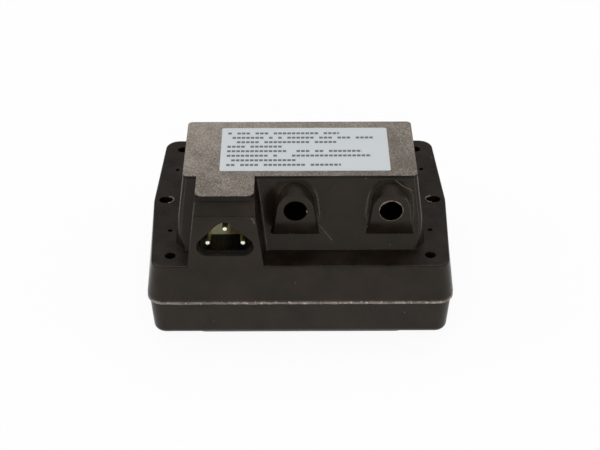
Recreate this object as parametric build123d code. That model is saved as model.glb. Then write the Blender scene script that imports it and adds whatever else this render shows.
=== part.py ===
from build123d import *
import math
import os

# Burner ignition transformer: a potted unit in a two-part moulded housing, with a three-pin supply
# inlet and two high-tension lead sockets at the front.
# Millimetres. +X runs to the right along the front, +Y to the back, +Z up from the underside.

# Deck: the flat top of the housing, whose short sides come to a blunt point at mid length
deck_width = 124.4
deck_point = 2.4
deck_depth = 96.5
deck_corner_radius = 6.0
side_point_radius = 30.0
deck_edge_radius = 0.8

# Skirt: the side walls of the cover, which spread downwards to the lip at the joint line
skirt_height = 17.2
skirt_spread_side = 2.0
skirt_spread_front = 1.2
lip_point = 1.8
lip_corner_radius = 7.0
lip_edge_radius = 1.2

# Tray: the lower half of the housing, on a thin raised pad
tray_height = 17.8
tray_set_back = 0.9
tray_draft_degrees = 4.0
tray_floor = 2.4
tray_edge_radius = 3.0
pad_side_gap = 15.1
pad_front_gap = 2.0
pad_corner_radius = 6.0
pad_height = 0.5
rim_height = 3.0
rim_thickness = 1.2
rim_clearance = 0.2
bead_width = 0.5
bead_height = 1.0
bead_edge_radius = 0.35

# Walls of the cover and the tray
housing_wall = 2.8
tray_wall = 3.3
smallest_inner_radius = 1.0

# Block: the raised housing of the coils, a round-cornered body whose front and back are cut to slopes
block_side_gap = 11.2
block_front_gap = 11.5
block_depth = 62.9
block_corner_radius = 8.5
block_height = 28.0
block_side_lean = 3.8
block_front_lean = 10.3
block_cut_depth = 0.8
block_edge_radius = 2.2

# Tower: the inlet's housing at the front left, whose face runs on from the skirt
tower_from_side = 21.114
tower_top_width = 23.4
tower_side_draft_degrees = 7.5
tower_brow_height = 23.2
tower_brow_top_height = 26.6
tower_tab_overhang = 0.4
tower_edge_radius = 0.8
tower_root_radius = 2.0

# Socket bosses for the high-tension leads: one beside the tower, one near the block's right side
left_socket_from_tower = 27.897
right_socket_from_side = 14.79
boss_set_back = 0.15
boss_axis_height = 19.0
boss_radius = 7.6
boss_foot_width = 18.6
boss_foot_height = 7.6
boss_face_radius = 0.5
boss_root_radius = 1.0
bore_radius = 4.7
bore_length = 20.0
chamber_radius = 2.6
chamber_length = 6.0
sleeve_wall = 2.6
sleeve_end = 2.0

# Inlet: three pins in a rounded triangular recess
pin_half_spacing = 7.05
pin_low_height = 9.5
pin_top_height = 16.3
pin_radius = 1.15
pin_tip_radius = 0.8
pin_tip_set_back = 3.05
pin_tail_radius = 0.8
pin_tail_length = 4.0
recess_radius = 4.3
recess_mouth_depth = 2.8
recess_ledge = 0.65
recess_wall = 1.6
carrier_set_back = 14.45
carrier_thickness = 5.0
carrier_clearance = 0.05

# Fixing holes through the flange of the housing, and four moulding marks
corner_hole_inset_x = 7.3
corner_hole_inset_y = 7.85
corner_hole_radius = 2.2
slot_inset = 5.3
slot_length = 6.4
slot_width = 4.7
hole_wall = 1.8
dimple_inset_x = 6.1
dimple_inset_y = 25.05
dimple_shift_y = 0.5
dimple_radius = 1.0
dimple_depth = 2.0

# Plate and label on the block
plate_thickness = 1.2
plate_edge_radius = 0.25
plate_corner_radius = 2.0
tab_set_back = 7.35
tab_corner_radius = 3.2
label_side_gap = 12.7
label_front_gap = 3.5
label_back_gap = 5.6
label_shift_x = 2.0
label_thickness = 0.2
label_corner_radius = 3.0

# Core: flat laminations, a U with long legs and a bar that closes it
limb_width = 11.0
stack_height = 18.0
window_length = 66.0
window_depth = 18.0
shunt_thickness = 2.4
shunt_end_gap = 7.0

# Coils on the two legs
coil_overhang_y = 7.2
coil_overhang_z = 7.0
coil_floor_gap = 1.1
coil_end_gap = 0.5
bobbin_clearance = 0.2
bobbin_tube = 1.0
bobbin_flange = 1.2
bobbin_corner_radius = 2.0
winding_below_flange = 0.8
chambers = 4
secondary_gap = 1.5

# Leads in the resin
lead_radius = 0.9
ht_lead_radius = 1.2
lead_bend_radius = 2.2
contact_pin_radius = 1.0
contact_flange_radius = 2.2
contact_flange_thickness = 1.4
contact_tail_length = 3.0
lead_start_run = 5.0
lead_height_over_coil = 8.0
midpoint_height_over_coil = 2.7

# Heights and places that follow from the sizes above
deck_front_y = -deck_depth / 2
deck_end_x = deck_width / 2 - deck_point
lip_width = deck_width + 2 * skirt_spread_side
lip_depth = deck_depth + 2 * skirt_spread_front
tray_bottom_z = pad_height
joint_z = tray_bottom_z + tray_height
deck_z = joint_z + skirt_height
front_slope = skirt_spread_front / skirt_height
tray_draft = tray_height * math.tan(math.radians(tray_draft_degrees))
block_width = deck_width - 2 * block_side_gap
block_front_y = deck_front_y + block_front_gap
block_centre_y = block_front_y + block_depth / 2
block_top_width = block_width - 2 * block_side_lean
block_top_depth = block_depth - 2 * block_front_lean
block_top_z = deck_z + block_height
block_top_front_y = block_front_y + block_front_lean
plate_top_z = block_top_z + plate_thickness
tab_front_y = deck_front_y + tab_set_back
tower_x = tower_from_side - block_width / 2
socket_xs = {"left": tower_x + left_socket_from_tower, "right": block_width / 2 - right_socket_from_side}
socket_z = deck_z + boss_axis_height
boss_front_y = block_front_y + boss_set_back
bore_end_y = boss_front_y + bore_length
chamber_end_y = bore_end_y + chamber_length
sleeve_end_y = chamber_end_y + sleeve_end
pin_places = {
    "live": (tower_x - pin_half_spacing, deck_z + pin_low_height),
    "neutral": (tower_x + pin_half_spacing, deck_z + pin_low_height),
    "earth": (tower_x, deck_z + pin_top_height),
}
pin_tip_y = deck_front_y + pin_tip_set_back
carrier_front_y = deck_front_y + carrier_set_back
carrier_back_y = carrier_front_y + carrier_thickness
limb_offset = (window_depth + limb_width) / 2
front_limb_y = block_centre_y - limb_offset
rear_limb_y = block_centre_y + limb_offset
coil_half_height = stack_height / 2 + coil_overhang_z
core_z = tray_bottom_z + tray_floor + coil_floor_gap + coil_half_height
winding_top_z = core_z + coil_half_height - winding_below_flange
yoke_x = (window_length + limb_width) / 2
secondary_length = (window_length - 2 * coil_end_gap - secondary_gap) / 2
chamber_pitch = (secondary_length - bobbin_flange) / chambers


def face_on(y):
    """Plane that faces the front at depth y, with X to the right and Z up."""
    return Plane(origin=(0, y, 0), x_dir=(1, 0, 0), z_dir=(0, -1, 0))


def side_on(x):
    """Plane that faces the right at place x, with Y across and Z up."""
    return Plane(origin=(x, 0, 0), x_dir=(0, 1, 0), z_dir=(1, 0, 0))


def footprint(width, point, depth, radius, z, inset=0.0):
    """Plan of the housing at height z: a rectangle with rounded corners and pointed short sides."""
    x_middle = width / 2 - inset
    x_end = x_middle - point
    y_end = depth / 2 - inset
    right = [(x_end, -y_end), (x_middle, 0), (x_end, y_end)]
    left = [(-x, -y) for x, y in right]
    plan = make_face(Polyline(*right, *left, close=True))
    corners = [v for v in plan.vertices() if abs(v.Y) > y_end / 2]
    plan = fillet(corners, max(radius - inset, smallest_inner_radius))
    points = [v for v in plan.vertices() if abs(v.X) > x_middle - point / 2]
    return Pos(0, 0, z) * fillet(points, side_point_radius)


def deck_plan(inset=0.0):
    """Plan of the deck."""
    return footprint(deck_width, deck_point, deck_depth, deck_corner_radius, deck_z, inset)


def lip_plan(inset=0.0):
    """Plan of the cover's lip at the joint line."""
    return footprint(lip_width, lip_point, lip_depth, lip_corner_radius, joint_z, inset)


def tray_plan(z, inset=0.0):
    """Plan of the tray at height z, where its draft has drawn it in."""
    drawn_in = tray_set_back + tray_draft * (joint_z - z) / tray_height
    return footprint(lip_width, lip_point, lip_depth, lip_corner_radius, z, drawn_in + inset)


def skirt_form(inset=0.0):
    """Side walls and deck as one solid form."""
    return loft([lip_plan(inset), deck_plan(inset)], ruled=True)


def block_section(width, z, inset):
    """Rounded rectangle of the block's body at height z, before its slopes are cut."""
    corner = max(block_corner_radius - inset, smallest_inner_radius)
    depth = block_depth + 2 * (block_cut_depth - inset)
    return Pos(0, block_centre_y, z) * RectangleRounded(width - 2 * inset, depth, corner)


def front_slope_y(z):
    """Place of the block's sloping front face at height z."""
    return block_front_y + block_front_lean * (z - deck_z) / block_height


def block_form(inset=0.0):
    """Raised block: a body with round corners and leaning sides, cut to a slope at front and back."""
    bottom = block_section(block_width, deck_z, inset)
    body = loft([bottom, block_section(block_top_width, block_top_z, inset)], ruled=True)
    foot_half = block_depth / 2 - inset
    top_half = block_top_depth / 2 - inset
    side_view = Polyline(
        (block_centre_y - foot_half, deck_z),
        (block_centre_y - top_half, block_top_z),
        (block_centre_y + top_half, block_top_z),
        (block_centre_y + foot_half, deck_z),
        close=True,
    )
    form = body & extrude(side_on(0) * make_face(side_view), block_width / 2, both=True)
    if inset == 0:
        slopes = form.faces().filter_by(lambda f: 0.1 < f.normal_at().Z < 0.9 and abs(f.normal_at().Y) > 0.5)
        middle_z = deck_z + block_height / 2
        edges = [e for face in slopes for e in face.edges() if abs((e @ 0.5).Z - middle_z) < block_height / 3]
        return fillet(edges, block_edge_radius)
    below_deck = extrude(bottom, -2 * inset)
    roof = Pos(0, block_centre_y, block_top_z) * Box(block_width, block_depth, 2 * inset)
    return form + below_deck - roof


def tower_form():
    """Inlet tower: a face that runs on from the skirt, a sloping brow and sides with draft."""
    root_z = deck_z - skirt_height / 2
    face_root_y = deck_front_y - front_slope * (deck_z - root_z)
    brow_z = deck_z + tower_brow_height
    brow_y = deck_front_y + front_slope * tower_brow_height
    brow_top_y = tab_front_y + tower_tab_overhang
    profile = Polyline(
        (block_centre_y, root_z),
        (face_root_y, root_z),
        (brow_y, brow_z),
        (brow_top_y, deck_z + tower_brow_top_height),
        (brow_top_y, block_top_z),
        (block_centre_y, block_top_z),
        close=True,
    )
    side_view = extrude(side_on(tower_x) * make_face(profile), tower_top_width, both=True)
    spread = (block_top_z - root_z) * math.tan(math.radians(tower_side_draft_degrees))
    half_top = tower_top_width / 2
    front = Polyline(
        (tower_x - half_top, block_top_z),
        (tower_x + half_top, block_top_z),
        (tower_x + half_top + spread, root_z),
        (tower_x - half_top - spread, root_z),
        close=True,
    )
    tower = side_view & extrude(face_on(0) * make_face(front), deck_depth)
    lowest_z = root_z + tower_edge_radius
    exposed = [e for e in tower.edges() if e.center().Y < brow_top_y and e.center().Z > lowest_z]
    return fillet(exposed, tower_edge_radius)


def boss_form(x):
    """Socket boss: an arch on flanks that spread towards its foot, run back into the block."""
    foot_z = deck_z + boss_foot_height
    arch = Pos(x, socket_z) * Circle(boss_radius)
    foot = Line((x - boss_foot_width / 2, foot_z), (x + boss_foot_width / 2, foot_z))
    outline = make_hull(arch.edges() + foot.edges())
    boss = extrude(face_on(block_centre_y) * outline, block_centre_y - boss_front_y)
    return fillet(boss.edges().group_by(Axis.Y)[0], boss_face_radius)


def recess_outline(radius):
    """Rounded triangle: the hull of one circle about each pin."""
    circles = Sketch() + [Pos(*place) * Circle(radius) for place in pin_places.values()]
    return make_hull(circles.edges())


def recess_form():
    """Space of the inlet: a wide mouth, then a ledge and the deeper well."""
    mouth_end_y = deck_front_y + front_slope * pin_low_height + recess_mouth_depth
    mouth = extrude(face_on(mouth_end_y) * recess_outline(recess_radius), deck_depth / 2)
    well_outline = recess_outline(recess_radius - recess_ledge)
    return mouth + extrude(face_on(carrier_back_y) * well_outline, carrier_back_y - mouth_end_y)


def recess_shell():
    """Wall that carries the inlet's well back into the block."""
    outline = recess_outline(recess_radius - recess_ledge + recess_wall)
    return extrude(face_on(carrier_back_y) * outline, carrier_back_y - deck_front_y)


def along_y(x, z, radius, start_y, end_y):
    """Round bar along Y."""
    return extrude(face_on(end_y) * Pos(x, z) * Circle(radius), end_y - start_y)


def four_places(inset_x, inset_y):
    """Four places on the deck, one near each corner, by their distance from its ends and its front."""
    x = deck_end_x - inset_x
    y = deck_depth / 2 - inset_y
    return [(sx * x, sy * y) for sx in (-1, 1) for sy in (-1, 1)]


def fixing_prisms(grow):
    """Uprights in the shape of the corner holes and the side slots, grown by a wall."""
    places = four_places(corner_hole_inset_x, corner_hole_inset_y)
    corners = [Pos(*place) * Circle(corner_hole_radius + grow) for place in places]
    slot_x = deck_width / 2 - slot_inset
    slot = SlotOverall(slot_length + 2 * grow, slot_width + 2 * grow)
    slots = [Pos(side * slot_x, 0) * slot for side in (-1, 1)]
    return [extrude(shape, deck_z + grow) for shape in corners + slots]


def cover_cavity():
    """Space inside the cover, less the walls of the sockets, the inlet and the fixing holes."""
    under_deck = Pos(0, 0, deck_z) * Box(lip_width, lip_depth, 2 * housing_wall)
    cavity = skirt_form(housing_wall) - under_deck + block_form(housing_wall)
    for x in socket_xs.values():
        cavity -= along_y(x, socket_z, bore_radius + sleeve_wall, boss_front_y, sleeve_end_y)
    cavity -= recess_shell()
    for prism in fixing_prisms(hole_wall):
        cavity -= prism
    return cavity


def roots_on_slope(form, left_x, right_x):
    """Edges between two places across in which a fitting meets the block's front slope."""
    middles = [(e, e @ 0.5) for e in form.edges()]
    return [
        e for e, p in middles
        if abs(p.Y - front_slope_y(p.Z)) < boss_face_radius / 10
        and left_x < p.X < right_x
        and deck_z + tower_root_radius < p.Z < block_top_z - boss_root_radius
    ]


def block_and_fittings():
    """Block, tower and bosses, with a cove where each boss and the tower's right side leave the slope."""
    form = block_form() + tower_form()
    tower_spread = block_height * math.tan(math.radians(tower_side_draft_degrees))
    tower_foot_x = tower_x + tower_top_width / 2 + tower_spread
    form = fillet(roots_on_slope(form, tower_x, tower_foot_x), tower_root_radius)
    reach = boss_foot_width / 2
    for x in socket_xs.values():
        form += boss_form(x)
        form = fillet(roots_on_slope(form, x - reach, x + reach), boss_root_radius)
    return form


def upper_housing():
    """Cover: skirt, deck, block, inlet tower and socket bosses in one moulding."""
    skirt = skirt_form()
    skirt = fillet(skirt.edges().group_by(Axis.Z)[-1], deck_edge_radius)
    skirt = fillet(skirt.edges().group_by(Axis.Z)[0], lip_edge_radius)
    cover = skirt + block_and_fittings()
    cover -= cover_cavity()
    cover -= recess_form()
    for place in pin_places.values():
        cover -= along_y(*place, pin_tail_radius, carrier_back_y, carrier_back_y + pin_tail_length)
    for x in socket_xs.values():
        cover -= along_y(x, socket_z, bore_radius, boss_front_y - boss_radius, bore_end_y)
        cover -= along_y(x, socket_z, chamber_radius, bore_end_y, chamber_end_y)
        cover -= along_y(x, socket_z, contact_pin_radius, chamber_end_y, sleeve_end_y)
    for prism in fixing_prisms(0.0):
        cover -= prism
    for x, y in four_places(dimple_inset_x, dimple_inset_y):
        cover -= Pos(x, y + dimple_shift_y, deck_z) * Cylinder(dimple_radius, 2 * dimple_depth)
    return cover


def tray_cavity():
    """Space inside the tray, less the walls of the fixing holes."""
    floor_z = tray_bottom_z + tray_floor
    cavity = loft([tray_plan(floor_z, tray_wall), tray_plan(joint_z, tray_wall)], ruled=True)
    for prism in fixing_prisms(hole_wall):
        cavity -= prism
    return cavity


def base_tray():
    """Tray: an open box with a rim that locates it in the cover, on a thin raised pad."""
    tray = loft([tray_plan(tray_bottom_z), tray_plan(joint_z)], ruled=True)
    tray = fillet(tray.edges().group_by(Axis.Z)[0], tray_edge_radius)
    drawn_in = tray_set_back + tray_draft
    pad_width = lip_width - 2 * (lip_point + drawn_in + pad_side_gap)
    pad_depth = lip_depth - 2 * (drawn_in + pad_front_gap)
    pad = RectangleRounded(pad_width, pad_depth, pad_corner_radius)
    tray += extrude(pad, pad_height + tray_floor / 2)
    tray -= tray_cavity()
    outer = skirt_form(housing_wall + rim_clearance)
    inner = skirt_form(housing_wall + rim_clearance + rim_thickness)
    above_rim = Pos(0, 0, joint_z + rim_height) * Box(
        lip_width, lip_depth, skirt_height, align=(Align.CENTER, Align.CENTER, Align.MIN)
    )
    rim = outer - inner - above_rim
    for prism in fixing_prisms(hole_wall + rim_clearance):
        rim -= prism
    tray += rim
    for prism in fixing_prisms(0.0):
        tray -= prism
    return tray


def seam_bead():
    """Line of resin that has come out of the joint, under the cover's lip."""
    bead = extrude(tray_plan(joint_z, -bead_width), -bead_height)
    bead = fillet(bead.edges().group_by(Axis.Z)[0], bead_edge_radius)
    return bead - loft([tray_plan(tray_bottom_z), tray_plan(joint_z)], ruled=True)


def earth_plate():
    """Zinc-coated sheet on the block, with a tab that covers the inlet tower."""
    tab_depth = block_top_front_y - tab_front_y
    top = Pos(0, block_centre_y) * RectangleRounded(block_top_width, block_top_depth, plate_corner_radius)
    tab = Pos(tower_x, tab_front_y + tab_depth) * RectangleRounded(
        tower_top_width, 2 * tab_depth, tab_corner_radius
    )
    plate = extrude(Pos(0, 0, block_top_z) * (top + tab), plate_thickness)
    return fillet(plate.edges().group_by(Axis.Z)[-1], plate_edge_radius)


def rating_label():
    """Foil label on the plate, left blank."""
    label_width = block_top_width - 2 * label_side_gap
    label_depth = block_top_depth - label_front_gap - label_back_gap
    place = Pos(label_shift_x, block_top_front_y + label_front_gap + label_depth / 2, plate_top_z)
    face = place * RectangleRounded(label_width, label_depth, label_corner_radius)
    return extrude(face, label_thickness)


def pin_carrier():
    """Moulded insert that closes the back of the inlet and holds its pins."""
    outline = recess_outline(recess_radius - recess_ledge - carrier_clearance)
    carrier = extrude(face_on(carrier_back_y) * outline, carrier_thickness)
    for place in pin_places.values():
        carrier -= along_y(*place, pin_radius, carrier_front_y - carrier_thickness, carrier_back_y)
    return carrier


def inlet_pin(place):
    """Round contact pin with a rounded tip and a thinner tail in the resin."""
    pin = along_y(*place, pin_radius, pin_tip_y, carrier_back_y)
    pin = fillet(pin.edges().group_by(Axis.Y)[0], pin_tip_radius)
    return pin + along_y(*place, pin_tail_radius, carrier_back_y, carrier_back_y + pin_tail_length)


def ht_contact(x):
    """Brass contact at the bottom of a socket, with a flange behind the sleeve and a tail."""
    flange_end_y = sleeve_end_y + contact_flange_thickness
    contact = along_y(x, socket_z, contact_pin_radius, bore_end_y + chamber_radius, sleeve_end_y)
    contact += along_y(x, socket_z, contact_flange_radius, sleeve_end_y, flange_end_y)
    tail_end_y = flange_end_y + contact_tail_length
    return contact + along_y(x, socket_z, contact_pin_radius, flange_end_y, tail_end_y)


def core_u_stack():
    """U of laminations: two long legs for the coils and the yoke at the left."""
    outer = Rectangle(window_length + limb_width, 2 * (limb_offset + limb_width / 2))
    window = Pos(limb_width / 2, 0) * Rectangle(window_length, window_depth)
    place = Pos(-limb_width / 2, block_centre_y, core_z - stack_height / 2)
    return extrude(place * (outer - window), stack_height)


def core_yoke_bar():
    """Bar of laminations that closes the core at the right."""
    yoke = Box(limb_width, 2 * (limb_offset + limb_width / 2), stack_height)
    return Pos(yoke_x, block_centre_y, core_z) * yoke


def magnetic_shunt():
    """Laminated strip between the coils, which limits the current."""
    length = window_length - 2 * shunt_end_gap
    return Pos(0, block_centre_y, core_z) * Box(length, shunt_thickness, stack_height)


def coil_section(leg_y, grow_y, grow_z):
    """Rounded rectangle about a leg of the core, grown by the given amounts."""
    radius = min(bobbin_corner_radius, grow_y)
    return Pos(leg_y, core_z) * RectangleRounded(limb_width + 2 * grow_y, stack_height + 2 * grow_z, radius)


def ring(leg_y, start_x, length, inner, outer_y, outer_z):
    """Length of a coil or a bobbin: a rounded ring about a leg of the core."""
    section = coil_section(leg_y, outer_y, outer_z) - coil_section(leg_y, inner, inner)
    return extrude(side_on(start_x) * section, length)


def bobbin(leg_y, start_x, length, count):
    """Moulded bobbin on a leg, with flanges that part it into count chambers."""
    pitch = (length - bobbin_flange) / count
    tube_reach = bobbin_clearance + bobbin_tube
    tube = ring(leg_y, start_x, length, bobbin_clearance, tube_reach, tube_reach)
    for index in range(count + 1):
        x = start_x + index * pitch
        tube += ring(leg_y, x, bobbin_flange, bobbin_clearance, coil_overhang_y, coil_overhang_z)
    return tube


def winding(leg_y, start_x, length, count):
    """Copper in the chambers of a bobbin."""
    pitch = (length - bobbin_flange) / count
    inner = bobbin_clearance + bobbin_tube
    outer_y = coil_overhang_y - winding_below_flange
    outer_z = coil_overhang_z - winding_below_flange
    starts = [start_x + bobbin_flange + index * pitch for index in range(count)]
    return Compound([ring(leg_y, x, pitch - bobbin_flange, inner, outer_y, outer_z) for x in starts])


def lead(points, radius):
    """Insulated lead: straight runs joined by arcs."""
    path = FilletPolyline(*points, radius=lead_bend_radius)
    section = Plane(origin=path @ 0, z_dir=path % 0) * Circle(radius)
    return sweep(section, path)


def primary_lead(name, landing_x):
    """Lead from a pin of the inlet to the primary coil."""
    x, z = pin_places[name]
    start_y = carrier_back_y + pin_tail_length
    points = [
        (x, start_y, z),
        (x, start_y + lead_start_run, z),
        (landing_x, rear_limb_y, z),
        (landing_x, rear_limb_y, winding_top_z),
    ]
    return lead(points, lead_radius)


def earth_lead():
    """Lead from the earth pin to the yoke of the core."""
    x, z = pin_places["earth"]
    start_y = carrier_back_y + pin_tail_length
    points = [
        (x, start_y, z),
        (x, start_y + lead_start_run, z),
        (-yoke_x, block_centre_y, z),
        (-yoke_x, block_centre_y, core_z + stack_height / 2),
    ]
    return lead(points, lead_radius)


def ht_lead(x, landing_x):
    """Lead from the end of a secondary coil to its socket's contact."""
    start_y = sleeve_end_y + contact_flange_thickness + contact_tail_length
    run_z = winding_top_z + lead_height_over_coil
    points = [
        (x, start_y, socket_z),
        (x, start_y + lead_start_run, socket_z),
        (landing_x, start_y + lead_start_run, run_z),
        (landing_x, front_limb_y, run_z),
        (landing_x, front_limb_y, winding_top_z),
    ]
    return lead(points, ht_lead_radius)


def midpoint_lead(landing_x):
    """Lead that ties the inner ends of the secondary coils to the core."""
    y = front_limb_y - limb_width / 4
    run_z = core_z + coil_half_height + midpoint_height_over_coil
    points = [
        (landing_x, y, winding_top_z),
        (landing_x, y, run_z),
        (-yoke_x, y, run_z),
        (-yoke_x, y, core_z + stack_height / 2),
    ]
    return lead(points, lead_radius)


primary_start_x = coil_end_gap - window_length / 2
left_start_x = primary_start_x
right_start_x = secondary_gap / 2
half_pitch = chamber_pitch / 2
primary_length = window_length - 2 * coil_end_gap

nodes = {
    "upper_housing": upper_housing(),
    "base_tray": base_tray(),
    "seam_bead": seam_bead(),
    "earth_plate": earth_plate(),
    "rating_label": rating_label(),
    "pin_carrier": pin_carrier(),
    "core_u_stack": core_u_stack(),
    "core_yoke_bar": core_yoke_bar(),
    "magnetic_shunt": magnetic_shunt(),
    "primary_bobbin": bobbin(rear_limb_y, primary_start_x, primary_length, 1),
    "primary_winding": winding(rear_limb_y, primary_start_x, primary_length, 1),
    "secondary_bobbin_left": bobbin(front_limb_y, left_start_x, secondary_length, chambers),
    "secondary_bobbin_right": bobbin(front_limb_y, right_start_x, secondary_length, chambers),
    "secondary_winding_left": winding(front_limb_y, left_start_x, secondary_length, chambers),
    "secondary_winding_right": winding(front_limb_y, right_start_x, secondary_length, chambers),
    "primary_lead_live": primary_lead("live", primary_start_x + chamber_pitch),
    "primary_lead_neutral": primary_lead("neutral", primary_start_x + 2 * chamber_pitch),
    "earth_lead": earth_lead(),
    "midpoint_lead": midpoint_lead(right_start_x + bobbin_flange / 2 + half_pitch),
    "ht_lead_left": ht_lead(socket_xs["left"], -right_start_x - bobbin_flange / 2 - half_pitch),
    "ht_lead_right": ht_lead(
        socket_xs["right"], right_start_x + secondary_length - bobbin_flange / 2 - half_pitch
    ),
}
for name, place in pin_places.items():
    nodes["inlet_pin_" + name] = inlet_pin(place)
for name, x in socket_xs.items():
    nodes["ht_contact_" + name] = ht_contact(x)

# The resin fills what the housing and the pieces in it leave free
resin = cover_cavity() + tray_cavity()
for name, piece in nodes.items():
    if name not in ("upper_housing", "seam_bead", "earth_plate", "rating_label"):
        resin -= piece
nodes["potting_resin"] = resin

os.makedirs("parts", exist_ok=True)
for name, piece in nodes.items():
    export_step(piece, f"parts/{name}.step")
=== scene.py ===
import math

import bmesh
import bpy
from mathutils import Matrix, Vector, noise


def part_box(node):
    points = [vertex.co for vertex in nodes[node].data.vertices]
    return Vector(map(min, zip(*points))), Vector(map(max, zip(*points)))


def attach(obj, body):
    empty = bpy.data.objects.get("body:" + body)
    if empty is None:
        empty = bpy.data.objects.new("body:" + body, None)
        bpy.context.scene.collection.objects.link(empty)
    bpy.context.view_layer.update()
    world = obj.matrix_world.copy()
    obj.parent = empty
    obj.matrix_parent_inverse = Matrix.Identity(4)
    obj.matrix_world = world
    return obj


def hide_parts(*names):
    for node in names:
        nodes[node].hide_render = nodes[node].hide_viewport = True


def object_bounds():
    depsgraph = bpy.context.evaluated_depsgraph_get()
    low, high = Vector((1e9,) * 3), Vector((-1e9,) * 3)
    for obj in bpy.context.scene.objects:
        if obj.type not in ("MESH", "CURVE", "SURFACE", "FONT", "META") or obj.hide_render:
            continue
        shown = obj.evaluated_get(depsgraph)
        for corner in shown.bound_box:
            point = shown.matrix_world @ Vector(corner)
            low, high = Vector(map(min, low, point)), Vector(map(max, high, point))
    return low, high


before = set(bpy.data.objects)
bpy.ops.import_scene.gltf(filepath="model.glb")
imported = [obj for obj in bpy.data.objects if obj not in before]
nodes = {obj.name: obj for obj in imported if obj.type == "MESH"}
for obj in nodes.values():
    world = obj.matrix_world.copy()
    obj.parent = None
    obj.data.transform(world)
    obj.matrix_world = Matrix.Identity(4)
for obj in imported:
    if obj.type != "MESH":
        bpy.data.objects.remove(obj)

cad_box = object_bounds()

# Housing cover. One moulding in black glass-filled nylon, with a faint brown cast. The mould leaves a
# satin skin with a fine grain, patches where it filled unevenly, and boss faces that are slightly hollow
# low down. Dust and handling marks lie on top, with a short painted highlight on the inlet tower's top
# corner. The well of the inlet and the two bores are painted black as shade, and the lip under the
# inlet is painted lighter where light falls on it.
mm = 0.001
nylon_hex = "#120c06"
nylon_patch_hex = "#241c15"
dust_hex = "#8f877c"
scratch_and_highlight_hex = "#5b534b"
sheen_hex = "#fff6ec"
well_painted_shade_hex = "#020301"
lip_painted_light_hex = "#2b2925"
nylon_ior = 1.34
nylon_roughness = (0.22, 0.38)
patch_size = 9 * mm
patch_span = (0.25, 0.75)
wave_height = 0.10 * mm
wave_strength = 0.35
grain_size = 0.35 * mm
grain_height = 0.02 * mm
grain_strength = 0.6
edge_round = 0.35 * mm
speck_spacing = 5.5 * mm
speck_rim = 0.048
speck_core = 0.032
speck_chance_span = (0.35, 0.95)
socket_xs = (-1.99 * mm, 36.21 * mm)
socket_z = 54.5 * mm
boss_radius = 7.6 * mm
bore_radius = 4.75 * mm
bore_start_y = -36.3 * mm
hollow_depth = 1.7 * mm
hollow_span = (39 * mm, 51 * mm)
faces_low = Vector((-14, -37, 36)) * mm
faces_high = Vector((48, -36.3, 64)) * mm
well_low = Vector((-42, -45.0, 41)) * mm
well_high = Vector((-18, -20, 55)) * mm
lip_low = Vector((-42, -47.9, 39)) * mm
lip_high = Vector((-18, -44.9, 42.6)) * mm
facing_up_span = (0.3, 0.6)
mark_core = 0.3
# Thin marks as X and Z ends and a width, in mm. The first three are scratches; the last two, at the inlet
# tower's top right corner, are a painted highlight.
scratches_and_highlight = (
    ((7.5, 45.6), (12.9, 39.3), 0.17),
    ((38.2, 62.7), (45.3, 58.4), 0.17),
    ((-4.3, 43.2), (-2.0, 43.1), 0.40),
    ((-19.4, 58.0), (-18.5, 57.4), 0.30),
    ((-18.5, 57.4), (-18.1, 55.6), 0.30),
)


def linear(hex_colour):
    """sRGB hex to a linear colour with alpha."""
    parts = [int(hex_colour[i:i + 2], 16) / 255 for i in (1, 3, 5)]
    return [p / 12.92 if p <= 0.04045 else ((p + 0.055) / 1.055) ** 2.4 for p in parts] + [1.0]


def add(tree, kind, values=None, links=None, **settings):
    """Adds a shader node with its settings, its socket values and its links from other nodes' outputs."""
    made = tree.nodes.new("ShaderNode" + kind)
    for name, value in settings.items():
        setattr(made, name, value)
    for socket, value in (values or {}).items():
        made.inputs[socket].default_value = value
    for socket, source in (links or {}).items():
        tree.links.new(source, made.inputs[socket])
    return made


def calc(tree, operation, *terms, **settings):
    """Result of one Math operation on terms, each a number or another node's output."""
    values = {number: term for number, term in enumerate(terms) if isinstance(term, (int, float))}
    links = {number: term for number, term in enumerate(terms) if number not in values}
    return add(tree, "Math", values, links, operation=operation, **settings).outputs[0]


def remap(tree, value, span, to_span=(0.0, 1.0), **settings):
    """Value taken from span to to_span and held between its ends."""
    limits = {"From Min": span[0], "From Max": span[1], "To Min": to_span[0], "To Max": to_span[1]}
    return add(tree, "MapRange", limits, {"Value": value}, **settings).outputs[0]


def clouds(tree, place, size, detail):
    """Soft noise in patches of about the given size."""
    return add(tree, "TexNoise", {"Scale": 1 / size, "Detail": detail}, {"Vector": place}).outputs["Fac"]


def axis_of(tree, vector, axis):
    """One component of a vector: X, Y or Z."""
    return add(tree, "SeparateXYZ", {}, {0: vector}).outputs[axis]


def mix(tree, share, first, second):
    """First colour where share is 0 and second where it is 1, each a hex or another node's output."""
    colours = {"Color1": first, "Color2": second}
    values = {socket: linear(colour) for socket, colour in colours.items() if isinstance(colour, str)}
    links = {socket: colour for socket, colour in colours.items() if socket not in values}
    return add(tree, "MixRGB", values, {"Fac": share, **links}).outputs[0]


def bump(tree, height, strength, distance, **under):
    """Normal raised by height over the Normal given in under, or over the surface itself."""
    return add(
        tree, "Bump", {"Strength": strength, "Distance": distance}, {"Height": height, **under}
    ).outputs[0]


def new_material(name, **sockets):
    """A Principled material with the given sockets, and its tree, shader and Object coordinates."""
    material = bpy.data.materials.new(name)
    material.use_nodes = True
    tree = material.node_tree
    shader = tree.nodes["Principled BSDF"]
    for socket, value in sockets.items():
        shader.inputs[socket.replace("_", " ")].default_value = value
    place = add(tree, "TexCoord").outputs["Object"]
    return material, tree, shader, place


def dress(material, *names):
    """Gives the named CAD nodes' objects one material."""
    for name in names:
        slots = nodes[name].data.materials
        slots.clear()
        slots.append(material)


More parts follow.
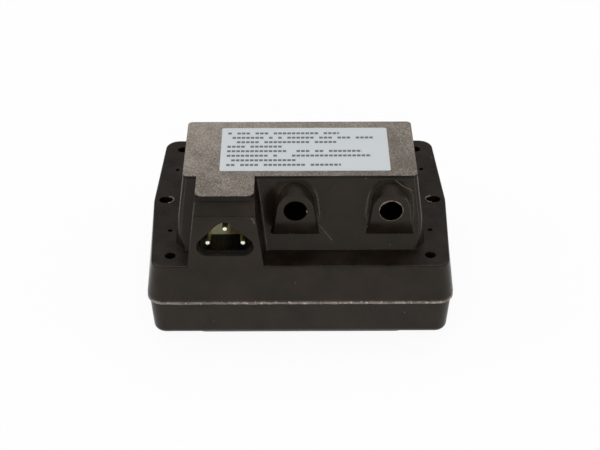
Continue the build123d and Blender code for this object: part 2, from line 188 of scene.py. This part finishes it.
def scratch_and_highlight_mask(tree, place, start, end, width):
    """A thin straight mark on the front faces, from start to end in X and Z."""
    run = Vector((end[0] - start[0], 0, end[1] - start[1]))
    away = add(
        tree, "VectorMath", {1: (start[0], 0, start[1])}, {0: place}, operation="SUBTRACT"
    ).outputs[0]
    flat = add(tree, "VectorMath", {1: (1, 0, 1)}, {0: away}, operation="MULTIPLY").outputs[0]
    along = add(
        tree, "VectorMath", {1: run / run.length_squared}, {0: flat}, operation="DOT_PRODUCT"
    ).outputs["Value"]
    share = add(tree, "Clamp", {}, {"Value": along}).outputs[0]
    nearest = add(tree, "VectorMath", {0: run}, {"Scale": share}, operation="SCALE").outputs[0]
    gap = add(tree, "VectorMath", {}, {0: flat, 1: nearest}, operation="DISTANCE").outputs["Value"]
    return remap(tree, gap, (width, mark_core * width))


def box_mask(tree, place, low, high):
    """1 inside the box from low to high, 0 outside it."""
    parts = add(tree, "SeparateXYZ", {}, {0: place}).outputs
    inside = []
    for axis in range(3):
        half = (high[axis] - low[axis]) / 2
        inside.append(calc(tree, "COMPARE", parts[axis], low[axis] + half, half))
    return calc(tree, "MULTIPLY", calc(tree, "MULTIPLY", inside[0], inside[1]), inside[2])


# The skin reads as a warm near-black that greys where light falls flat on it.
nylon, tree, shader, place = new_material(
    "moulded_glass_filled_nylon", IOR=nylon_ior, Specular_Tint=linear(sheen_hex)
)
patches = clouds(tree, place, patch_size, 3.0)
grain = clouds(tree, place, grain_size, 2.0)
blotches = remap(tree, patches, patch_span)
body_colour = mix(tree, blotches, nylon_hex, nylon_patch_hex)
cells = add(tree, "TexVoronoi", {"Scale": 1 / speck_spacing}, {"Vector": place}).outputs
speck = remap(tree, cells["Distance"], (speck_rim, speck_core))
speck_chance = add(tree, "SeparateColor", {}, {"Color": cells["Color"]}).outputs["Red"]
speck_kept = remap(tree, speck_chance, speck_chance_span)
dusty = mix(tree, calc(tree, "MULTIPLY", speck, speck_kept), body_colour, dust_hex)

front_half = calc(tree, "LESS_THAN", axis_of(tree, place, "Y"), 0.0)
marks = None
for start, end, width in scratches_and_highlight:
    line = scratch_and_highlight_mask(tree, place, Vector(start) * mm, Vector(end) * mm, width * mm)
    line = calc(tree, "MULTIPLY", line, front_half)
    marks = line if marks is None else calc(tree, "MAXIMUM", marks, line)
# Scratches in a lighter grey, and the painted highlight at the tower corner in the same grey.
painted = mix(tree, marks, dusty, scratch_and_highlight_hex)

# Painted shade: the inlet's well and the two bores are painted near-black, as the shade deep inside them.
painted_shade_boxes = [(well_low, well_high)]
for socket_x in socket_xs:
    painted_shade_boxes.append((
        Vector((socket_x - bore_radius, bore_start_y, socket_z - bore_radius)),
        Vector((socket_x + bore_radius, 0, socket_z + bore_radius)),
    ))
for low, high in painted_shade_boxes:
    painted = mix(tree, box_mask(tree, place, low, high), painted, well_painted_shade_hex)
# Painted light: the upward-facing lip under the inlet's well is painted a lighter grey, where light falls on it.
upward = axis_of(tree, add(tree, "TexCoord").outputs["Normal"], "Z")
facing_up = remap(tree, upward, facing_up_span)
lit_lip_share = calc(tree, "MULTIPLY", box_mask(tree, place, lip_low, lip_high), facing_up)
painted = mix(tree, lit_lip_share, painted, lip_painted_light_hex)
tree.links.new(painted, shader.inputs["Base Color"])
tree.links.new(remap(tree, blotches, (0.0, 1.0), nylon_roughness), shader.inputs["Roughness"])

hollow = remap(
    tree, axis_of(tree, place, "Z"), hollow_span, (0.0, hollow_depth), interpolation_type="SMOOTHSTEP"
)
face_height = calc(tree, "MULTIPLY", hollow, box_mask(tree, place, faces_low, faces_high))
rounded = add(tree, "Bevel", {"Radius": edge_round}, samples=6).outputs[0]
dished = bump(tree, face_height, 1.0, 1.0, Normal=rounded)
waves = bump(tree, patches, wave_strength, wave_height, Normal=dished)
skin = bump(tree, grain, grain_strength, grain_height, Normal=waves)
tree.links.new(skin, shader.inputs["Normal"])
dress(nylon, "upper_housing")

# Socket boss roots. Where each boss runs out of the sloping front the mould has a wide cove, widest beside
# the inlet tower, and none at the boss's foot. It is the same moulding and the same black nylon.
boss_foot = Vector((9.3, -11.4)) * mm
slope_foot = Vector((-36.75, 35.5)) * mm
slope_run = 10.3 / 28
root_rise_share = 0.5
root_lift = 0.01 * mm
root_thickness = 0.9 * mm
root_foot_z = 43.1 * mm
root_full_z = 51 * mm
root_reaches = ((5.6 * mm, 2.6 * mm), (2.8 * mm, 2.6 * mm))
root_left_x = -15.2 * mm
root_right_x = 46.6 * mm
root_top_z = 63.2 * mm
root_segments = (96, 12)
sideways_least = 0.05
root_sharp_angle = math.radians(35)

tangent_turn = math.atan2(boss_foot.y, boss_foot.x) + math.acos(boss_radius / boss_foot.length)
flank_length = math.sqrt(boss_foot.length_squared - boss_radius ** 2)
arch_turn = math.pi - 2 * tangent_turn
outline_length = 2 * flank_length + boss_radius * arch_turn


def new_piece(name, work):
    """An object at the origin with the mesh that is in work, which is then freed."""
    mesh = bpy.data.meshes.new(name)
    work.to_mesh(mesh)
    work.free()
    piece = bpy.data.objects.new(name, mesh)
    bpy.context.scene.collection.objects.link(piece)
    return piece


def boss_outline(share):
    """Point on a boss's outline, in X and Z from its socket, and the way out of it there.

    Share runs from 0 at the right foot over the arch to 1 at the left foot.
    """
    along = share * outline_length
    if along < flank_length:
        turn, back = tangent_turn, flank_length - along
    elif along > outline_length - flank_length:
        turn, back = math.pi - tangent_turn, along - outline_length + flank_length
    else:
        turn, back = tangent_turn + (along - flank_length) / boss_radius, 0.0
    out = Vector((math.cos(turn), math.sin(turn)))
    down = Vector((out.y, -out.x)) if out.x > 0 else Vector((-out.y, out.x))
    return out * boss_radius + down * back, out


work = bmesh.new()
for socket_x, (left_reach, right_reach) in zip(socket_xs, root_reaches):
    grid = bmesh.ops.create_grid(work, x_segments=root_segments[0], y_segments=root_segments[1], size=0.5)
    sheet = grid["verts"]
    for vertex in sheet:
        point, out = boss_outline(vertex.co.x + 0.5)
        point += Vector((socket_x, socket_z))
        side_x = root_left_x if out.x < 0 else root_right_x
        room = (root_top_z - point.y) / out.y
        if abs(out.x) > sideways_least:
            room = min(room, (side_x - point.x) / out.x)
        reach = min(room, right_reach + (left_reach - right_reach) * max(0.0, -out.x))
        away = vertex.co.y + 0.5
        fade = min(1.0, max(0.0, (point.y - root_foot_z) / (root_full_z - root_foot_z)))
        fade = fade * fade * (3 - 2 * fade)
        rise = root_rise_share * reach * (1 - away) ** 2 * fade + root_lift
        point += out * reach * away
        vertex.co = (point.x, slope_foot.x + slope_run * (point.y - slope_foot.y) - rise, point.y)
    faces = list({face for vertex in sheet for face in vertex.link_faces})
    grown = bmesh.ops.extrude_face_region(work, geom=faces)["geom"]
    sunk = [item for item in grown if isinstance(item, bmesh.types.BMVert)]
    bmesh.ops.translate(work, verts=sunk, vec=(0, root_thickness, 0))
bmesh.ops.recalc_face_normals(work, faces=work.faces)
boss_roots = new_piece("socket_boss_roots", work)
boss_roots.data.shade_smooth()
boss_roots.data.set_sharp_from_angle(angle=root_sharp_angle)
boss_roots.data.materials.append(nylon)
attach(boss_roots, "root")

# Flash. Thin pale skin of nylon that the mould pressed out at the socket mouths and at the inner ends of
# the side slots, never trimmed off: a ragged ring, a small nub and two curled slivers.
flash_hex = "#8f8176"
flash_dark_hex = "#5d5148"
shred_size = 0.8 * mm
boss_face_y = -36.6 * mm
ring_thickness = 0.21 * mm
ragged_length = 1.4 * mm
ragged_mean = 0.75
ragged_swing = 1.3
ragged_top = 0.5
ragged_least = 0.3
nub_radius = 0.42 * mm
nub_lump_length = 0.5 * mm
nub_lump = 0.5
nub_shape = (0.8, 0.9, 1.2)
nub_place = Vector((4.55, 0.2, -0.3)) * mm
deck_z = 35.5 * mm
slot_end_x = 56.05 * mm
slot_radius = 2.35 * mm
sliver_thickness = 0.30 * mm
sliver_wander = 0.25 * mm
sliver_wander_length = 0.9 * mm

left_mouth = Vector((socket_xs[0], boss_face_y, socket_z))
right_mouth = Vector((socket_xs[1], boss_face_y, socket_z))
work = bmesh.new()
loop = bmesh.ops.create_circle(work, cap_ends=False, segments=8, radius=ring_thickness)["verts"]
bmesh.ops.translate(work, verts=loop, vec=right_mouth + Vector((bore_radius, 0, 0)))
bmesh.ops.spin(
    work, geom=work.verts[:] + work.edges[:], cent=right_mouth, axis=(0, 1, 0), angle=2 * math.pi, steps=72,
    use_merge=True, use_duplicate=False
)
for vertex in work.verts:
    outward = vertex.co - right_mouth
    outward.y = 0
    outward.normalize()
    on_ring = right_mouth + outward * bore_radius
    ragged = ragged_mean + ragged_swing * noise.noise(on_ring / ragged_length) + ragged_top * outward.z
    vertex.co = on_ring + (vertex.co - on_ring) * max(ragged_least, ragged)
nub = bmesh.ops.create_icosphere(work, subdivisions=3, radius=nub_radius)["verts"]
for vertex in nub:
    vertex.co *= 1 + nub_lump * noise.noise(vertex.co / nub_lump_length)
bmesh.ops.scale(work, verts=nub, vec=nub_shape)
bmesh.ops.translate(work, verts=nub, vec=left_mouth + nub_place)
for side in (-1, 1):
    before = set(work.verts)
    loop = bmesh.ops.create_circle(work, cap_ends=False, segments=8, radius=sliver_thickness)["verts"]
    edges = list({edge for vertex in loop for edge in vertex.link_edges})
    for axis in ("X", "Z"):
        bmesh.ops.rotate(work, verts=loop, cent=(0, 0, 0), matrix=Matrix.Rotation(math.pi / 2, 3, axis))
    bmesh.ops.translate(work, verts=loop, vec=(side * slot_end_x, slot_radius, deck_z))
    bmesh.ops.spin(
        work, geom=loop + edges, cent=(side * slot_end_x, 0, deck_z), axis=(0, 0, side), angle=math.pi, steps=16,
        use_merge=False, use_duplicate=False
    )
    for vertex in work.verts:
        if vertex not in before:
            wander = sliver_wander * noise.noise(vertex.co / sliver_wander_length)
            vertex.co += vertex.co.normalized() * wander
bmesh.ops.holes_fill(work, edges=[edge for edge in work.edges if edge.is_boundary])
bmesh.ops.recalc_face_normals(work, faces=work.faces)
flash = new_piece("moulding_flash", work)
flash.data.shade_smooth()

# Torn edges whiten, so the flash reads as pale threads against the black.
torn, tree, shader, place = new_material("torn_nylon_flash", Roughness=0.5)
shreds = clouds(tree, place, shred_size, 2.0)
tree.links.new(mix(tree, shreds, flash_dark_hex, flash_hex), shader.inputs["Base Color"])
flash.data.materials.append(torn)
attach(flash, "root")

# Tray. The lower half of the housing, moulded in the same nylon. The cover stands on its edge and
# locates on its rim.
dress(nylon, "base_tray")

# Joint bead. Potting resin and thin flash that came out between tray and cover and was wiped off. It
# is paler than the nylon and runs uneven all the way round.
bead_hex = "#8c8177"
bead_bright_hex = "#bdb3a8"
bead_dark_hex = "#5f564d"
bead_voxel = 0.22 * mm
bead_swell = 0.20 * mm
bead_lump_length = 5.5 * mm
bead_lump_height = 0.17 * mm
bead_patch = 4 * mm
bead_patch_span = (0.35, 0.65)
bead_spot = 1.1 * mm
bead_spot_span = (0.58, 0.70)

work = bmesh.new()
work.from_mesh(nodes["seam_bead"].data)
bmesh.ops.remove_doubles(work, verts=work.verts, dist=1e-6)
bead = new_piece("joint_bead", work)
remesh = bead.modifiers.new("even_faces", "REMESH")
remesh.mode = "VOXEL"
remesh.voxel_size = bead_voxel
even = bpy.data.meshes.new_from_object(bead.evaluated_get(bpy.context.evaluated_depsgraph_get()))
bead.modifiers.clear()
bead.data = even
work = bmesh.new()
work.from_mesh(even)
bmesh.ops.recalc_face_normals(work, faces=work.faces)
for vertex in work.verts:
    lump = noise.fractal(vertex.co / bead_lump_length, 1.0, 2.0, 3)
    vertex.co += vertex.normal * (bead_swell + bead_lump_height * lump)
work.to_mesh(even)
work.free()
even.shade_smooth()

# Dried resin reads as a chalky grey line with lighter crumbs.
resin_skin, tree, shader, place = new_material("potting_resin_bead", Roughness=0.45)
dull = remap(tree, clouds(tree, place, bead_patch, 4.0), bead_patch_span)
bright = remap(tree, clouds(tree, place, bead_spot, 2.0), bead_spot_span)
chalky = mix(tree, bright, mix(tree, dull, bead_dark_hex, bead_hex), bead_bright_hex)
tree.links.new(chalky, shader.inputs["Base Color"])
even.materials.clear()
even.materials.append(resin_skin)
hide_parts("seam_bead")
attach(bead, "root")

# Plate. Zinc-coated steel sheet, 1.2 mm, blanked with its tab and laid on the block. The coating is
# matt, with a fine crystal speckle and a warm grey from handling.
zinc_hex = "#ada499"
zinc_dark_hex = "#5f574e"
zinc_edge_painted_shade_hex = "#0e0b08"
zinc_painted_light_slope = (2.7, -6.0, 0.0)
zinc_tone_base = 0.24
zinc_crystal = 0.55 * mm
zinc_crystal_span = (0.38, 0.62)
zinc_crystal_share = 0.6
zinc_patch = 11 * mm
zinc_patch_share = 0.7
zinc_pit_strength = 0.4
zinc_pit_depth = 0.03 * mm
zinc_edge_span = (0.75, 0.45)

# The coating gives a speckled mid grey, painted lighter to the back left as the light falls there, and the cut
# edge is painted dark as shade.
zinc, tree, shader, place = new_material("zinc_coated_steel", Metallic=0.35, Roughness=0.62)
crystals = clouds(tree, place, zinc_crystal, 2.0)
cloudy = clouds(tree, place, zinc_patch, 3.0)
speckle = remap(
    tree, crystals, zinc_crystal_span, (-zinc_tone_base, zinc_crystal_share - zinc_tone_base)
)
tone = calc(tree, "MULTIPLY_ADD", cloudy, zinc_patch_share, speckle)
# Painted light: the grey is lifted toward the back left and lowered toward the front right, as the light falls
# across the plate.
painted_light_slope = add(
    tree, "VectorMath", {1: zinc_painted_light_slope}, {0: place}, operation="DOT_PRODUCT"
).outputs["Value"]
shade = calc(tree, "SUBTRACT", tone, painted_light_slope, use_clamp=True)
# Painted shade: faces that don't face up, the plate's cut edges, are painted near-black as shade.
facing = axis_of(tree, add(tree, "TexCoord").outputs["Normal"], "Z")
cut_face = remap(tree, facing, zinc_edge_span)
edged = mix(tree, cut_face, mix(tree, shade, zinc_dark_hex, zinc_hex), zinc_edge_painted_shade_hex)
tree.links.new(edged, shader.inputs["Base Color"])
tree.links.new(bump(tree, crystals, zinc_pit_strength, zinc_pit_depth), shader.inputs["Normal"])
dress(zinc, "earth_plate")

# Label. Satin metallised film with small round corners, stuck on the plate. Its print is only plain grey
# bars in rows of different lengths, set like words.
film_hex = "#cfd4d6"
ink_hex = "#63686b"
label_corner = 0.9 * mm
row_pitch = 3.5 * mm
row_bar = (0.28, 0.72)
sign_pitch = 1.9 * mm
sign_width = 0.78
word_gap_share = 0.16
shortest_row = 0.35
print_margin = 2.6 * mm

label_low, label_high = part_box("rating_label")
work = bmesh.new()
bmesh.ops.create_cube(work, size=1.0)
bmesh.ops.scale(work, verts=work.verts, vec=label_high - label_low)
bmesh.ops.translate(work, verts=work.verts, vec=(label_low + label_high) / 2)
corners = [edge for edge in work.edges if abs(edge.verts[0].co.z - edge.verts[1].co.z) > 0.01 * mm]
bmesh.ops.bevel(
    work, geom=corners, offset=label_corner, segments=6, profile=0.5, affect="EDGES", material=-1
)
label = new_piece("film_label", work)

# The film reads as a cool light grey, and the print as small mid-grey bars.
film, tree, shader, place = new_material("metallised_film_label", Roughness=0.42)
print_start = (-label_low.x - print_margin, -label_low.y - print_margin, 0)
print_width = label_high.x - label_low.x - 2 * print_margin
print_height = label_high.y - label_low.y - 2 * print_margin
local = add(tree, "Mapping", {"Location": print_start}, {"Vector": place}).outputs[0]
across, up = add(tree, "SeparateXYZ", {}, {0: local}).outputs[:2]
rows = calc(tree, "MULTIPLY", up, 1 / row_pitch)
row = calc(tree, "FLOOR", rows)
height_in_row = calc(tree, "FRACT", rows)
signs = calc(tree, "MULTIPLY", across, 1 / sign_pitch)
cell = add(tree, "CombineXYZ", {}, {"X": calc(tree, "FLOOR", signs), "Y": row}).outputs[0]
dice = add(tree, "TexWhiteNoise", {}, {"Vector": cell}, noise_dimensions="2D").outputs["Value"]
row_dice = add(tree, "TexWhiteNoise", {}, {"W": row}, noise_dimensions="1D").outputs["Value"]
row_end = remap(tree, row_dice, (0.0, 1.0), (shortest_row * print_width, print_width))
ink = calc(tree, "GREATER_THAN", height_in_row, row_bar[0])
for limit in (
    calc(tree, "LESS_THAN", height_in_row, row_bar[1]),
    calc(tree, "GREATER_THAN", dice, word_gap_share),
    calc(tree, "LESS_THAN", calc(tree, "FRACT", signs), sign_width),
    calc(tree, "LESS_THAN", across, row_end),
    calc(tree, "GREATER_THAN", across, 0.0),
    calc(tree, "LESS_THAN", up, print_height),
    calc(tree, "GREATER_THAN", up, 0.0),
):
    ink = calc(tree, "MULTIPLY", ink, limit)
tree.links.new(mix(tree, ink, film_hex, ink_hex), shader.inputs["Base Color"])
label.data.materials.append(film)
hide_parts("rating_label")
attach(label, "root")

# Pin carrier. Small moulding in cream phenolic at the back of the inlet; its colour turns a darker brown toward
# its right side, in patches.
cream_hex = "#bdb990"
carrier_brown_hex = "#4a3a1e"
brown_patch = 3 * mm
brown_patch_share = 0.4
brown_span_x = (-30.3 * mm, -28.0 * mm)
brown_strength = (-0.15, 0.7)

phenolic, tree, shader, place = new_material("cream_phenolic", Roughness=0.4)
toward_right = remap(tree, axis_of(tree, place, "X"), brown_span_x, brown_strength)
browned = calc(
    tree, "MULTIPLY_ADD", clouds(tree, place, brown_patch, 3.0), brown_patch_share, toward_right,
    use_clamp=True
)
tree.links.new(mix(tree, browned, cream_hex, carrier_brown_hex), shader.inputs["Base Color"])
dress(phenolic, "pin_carrier")

# Inlet pins. Turned brass with a thin bright plating that lets some yellow through; the tips are painted
# near-white as a highlight.
# The contacts at the bottom of the sockets are made of the same.
pin_hex = "#b7ad72"
pin_worn_hex = "#8f8246"
pin_tip_painted_highlight_hex = "#f3f1e6"
wear_patch = 1.5 * mm
pin_tip_span = (-0.5, -0.9)

plated, tree, shader, place = new_material("plated_brass", Metallic=0.8, Roughness=0.25)
brassy = mix(tree, clouds(tree, place, wear_patch, 3.0), pin_hex, pin_worn_hex)
# Painted highlight: faces turned to the front, the pin tips, are painted near-white.
ahead = axis_of(tree, add(tree, "TexCoord").outputs["Normal"], "Y")
highlighted_pins = mix(tree, remap(tree, ahead, pin_tip_span), brassy, pin_tip_painted_highlight_hex)
tree.links.new(highlighted_pins, shader.inputs["Base Color"])
dress(plated, "inlet_pin_live", "inlet_pin_neutral", "inlet_pin_earth", "ht_contact_left", "ht_contact_right")

# Core. Silicon-steel laminations stacked flat; their edges show as fine lines along the height.
steel_hex = "#8b8d90"
steel_gap_hex = "#3a3c3f"
lamination = 0.5 * mm

laminated, tree, shader, place = new_material("silicon_steel_laminations", Metallic=0.8, Roughness=0.45)
sheets = calc(tree, "MULTIPLY", axis_of(tree, place, "Z"), 1 / lamination)
layered = mix(tree, calc(tree, "PINGPONG", sheets, 1.0), steel_gap_hex, steel_hex)
tree.links.new(layered, shader.inputs["Base Color"])
dress(laminated, "core_u_stack", "core_yoke_bar", "magnetic_shunt")

# Bobbins. Natural nylon mouldings that part the windings into chambers.
bobbin_hex = "#cfc9b4"
bobbin_shade_hex = "#b5ad94"
bobbin_patch = 5 * mm

natural, tree, shader, place = new_material("natural_nylon", Roughness=0.5)
milky = mix(tree, clouds(tree, place, bobbin_patch, 2.0), bobbin_hex, bobbin_shade_hex)
tree.links.new(milky, shader.inputs["Base Color"])
dress(natural, "primary_bobbin", "secondary_bobbin_left", "secondary_bobbin_right")

# Windings. Enamelled copper wire, wound side by side along the coil, so the turns show as fine ribs.
copper_hex = "#9c4a24"
copper_dark_hex = "#5c2510"
wire_pitch = 0.5 * mm

copper, tree, shader, place = new_material("enamelled_copper_wire", Metallic=0.7, Roughness=0.3)
turns = calc(tree, "MULTIPLY", axis_of(tree, place, "X"), 1 / wire_pitch)
wound = mix(tree, calc(tree, "PINGPONG", turns, 1.0), copper_dark_hex, copper_hex)
tree.links.new(wound, shader.inputs["Base Color"])
dress(copper, "primary_winding", "secondary_winding_left", "secondary_winding_right")

# Leads. Silicone-covered wire in dark red, dull and slightly uneven.
silicone_hex = "#7a1f17"
silicone_dark_hex = "#571410"
silicone_patch = 2 * mm

silicone, tree, shader, place = new_material("silicone_lead", Roughness=0.6)
covered = mix(tree, clouds(tree, place, silicone_patch, 2.0), silicone_hex, silicone_dark_hex)
tree.links.new(covered, shader.inputs["Base Color"])
dress(silicone, "primary_lead_live", "primary_lead_neutral", "earth_lead")
dress(silicone, "midpoint_lead", "ht_lead_left", "ht_lead_right")

# Resin. Amber-grey casting resin that fills the housing round the coils.
resin_hex = "#8f8468"
resin_dark_hex = "#6d6348"
resin_swirl = 12 * mm

casting, tree, shader, place = new_material("casting_resin", Roughness=0.25)
poured = mix(tree, clouds(tree, place, resin_swirl, 2.0), resin_hex, resin_dark_hex)
tree.links.new(poured, shader.inputs["Base Color"])
dress(casting, "potting_resin")

# Floor. A plain white sheet under the object, wide enough to fill every view. Where it is looked at, or
# mirrored, it is lifted nearly to pure white, and only a faint shadow of the object stays on it.
floor_hex = "#fafafa"
floor_shade_hex = "#f8f8f8"
white_hex = "#ffffff"
floor_fibre = 40 * mm
floor_half = 4.0
floor_lift = 0.93

work = bmesh.new()
bmesh.ops.create_grid(work, x_segments=1, y_segments=1, size=floor_half)
bmesh.ops.translate(work, verts=work.verts, vec=(0, 0, cad_box[0][2]))
floor = new_piece("floor", work)

paper, tree, shader, place = new_material("white_paper_sheet", Roughness=0.9)
pale = mix(tree, clouds(tree, place, floor_fibre, 2.0), floor_hex, floor_shade_hex)
tree.links.new(pale, shader.inputs["Base Color"])
rays = add(tree, "LightPath").outputs
mirrored = calc(tree, "ADD", rays["Is Glossy Ray"], rays["Is Transmission Ray"])
seen = calc(tree, "ADD", rays["Is Camera Ray"], mirrored, use_clamp=True)
lifted = calc(tree, "MULTIPLY", seen, floor_lift)
plain_white = add(tree, "Emission", {"Color": linear(white_hex), "Strength": 1.0}).outputs[0]
sheet = add(tree, "MixShader", {}, {0: lifted, 1: shader.outputs[0], 2: plain_white}).outputs[0]
tree.links.new(sheet, tree.nodes["Material Output"].inputs["Surface"])
floor.data.materials.append(paper)

# Light. Large soft boxes in front, above, behind and at the sides, and a narrow one at each front corner
# that draws the bright lines along the upright edges, in a dim grey room.
room_strength = 0.26
boxes = {
    "front": {"place": (0.0, -1.5, 0.60), "size": (1.5, 1.1), "glow": 0.85},
    "front_left_strip": {"place": (-1.0, -1.15, 0.36), "size": (0.22, 0.7), "glow": 6.0},
    "front_right_strip": {"place": (1.0, -1.15, 0.36), "size": (0.22, 0.7), "glow": 6.0},
    "top": {"place": (0.0, -0.2, 1.6), "size": (1.8, 1.0), "glow": 0.5},
    "back_top": {"place": (0.0, 0.8, 1.5), "size": (2.0, 0.8), "glow": 2.0},
    "left": {"place": (-1.2, 0.1, 1.0), "size": (1.2, 0.9), "glow": 1.7},
    "right": {"place": (1.2, 0.1, 1.0), "size": (1.2, 0.9), "glow": 1.2},
}
target = Vector((0, 0, 0.03))

for name, box in boxes.items():
    lamp = bpy.data.lights.new(name + "_soft_box", "AREA")
    lamp.shape = "RECTANGLE"
    lamp.size, lamp.size_y = box["size"]
    lamp.energy = box["glow"] * math.pi * lamp.size * lamp.size_y
    holder = bpy.data.objects.new(name + "_soft_box", lamp)
    holder.location = box["place"]
    holder.rotation_euler = (target - holder.location).to_track_quat("-Z", "Y").to_euler()
    bpy.context.scene.collection.objects.link(holder)

world = bpy.data.worlds.new("dim_room")
world.use_nodes = True
room = world.node_tree.nodes["Background"].inputs
room["Color"].default_value = linear(white_hex)
room["Strength"].default_value = room_strength
bpy.context.scene.world = world
bpy.context.scene.view_settings.view_transform = "Standard"

# Camera. At the photograph's place: in front, a third of a degree to the left, looking down at 35 degrees.
camera_place = (-0.00286, -0.4965, 0.3698)
camera_pitch = math.radians(35.0)
camera_heading = math.radians(-0.34)
focal_pixels = 1400.0
picture_width = 600.0

camera_data = bpy.data.cameras.new("camera")
camera_data.sensor_width = 36.0
camera_data.lens = camera_data.sensor_width * focal_pixels / picture_width
camera = bpy.data.objects.new("camera", camera_data)
camera.location = camera_place
camera.rotation_euler = (math.pi / 2 - camera_pitch, 0, camera_heading)
bpy.context.scene.collection.objects.link(camera)
bpy.context.scene.camera = camera

bpy.context.view_layer.update()
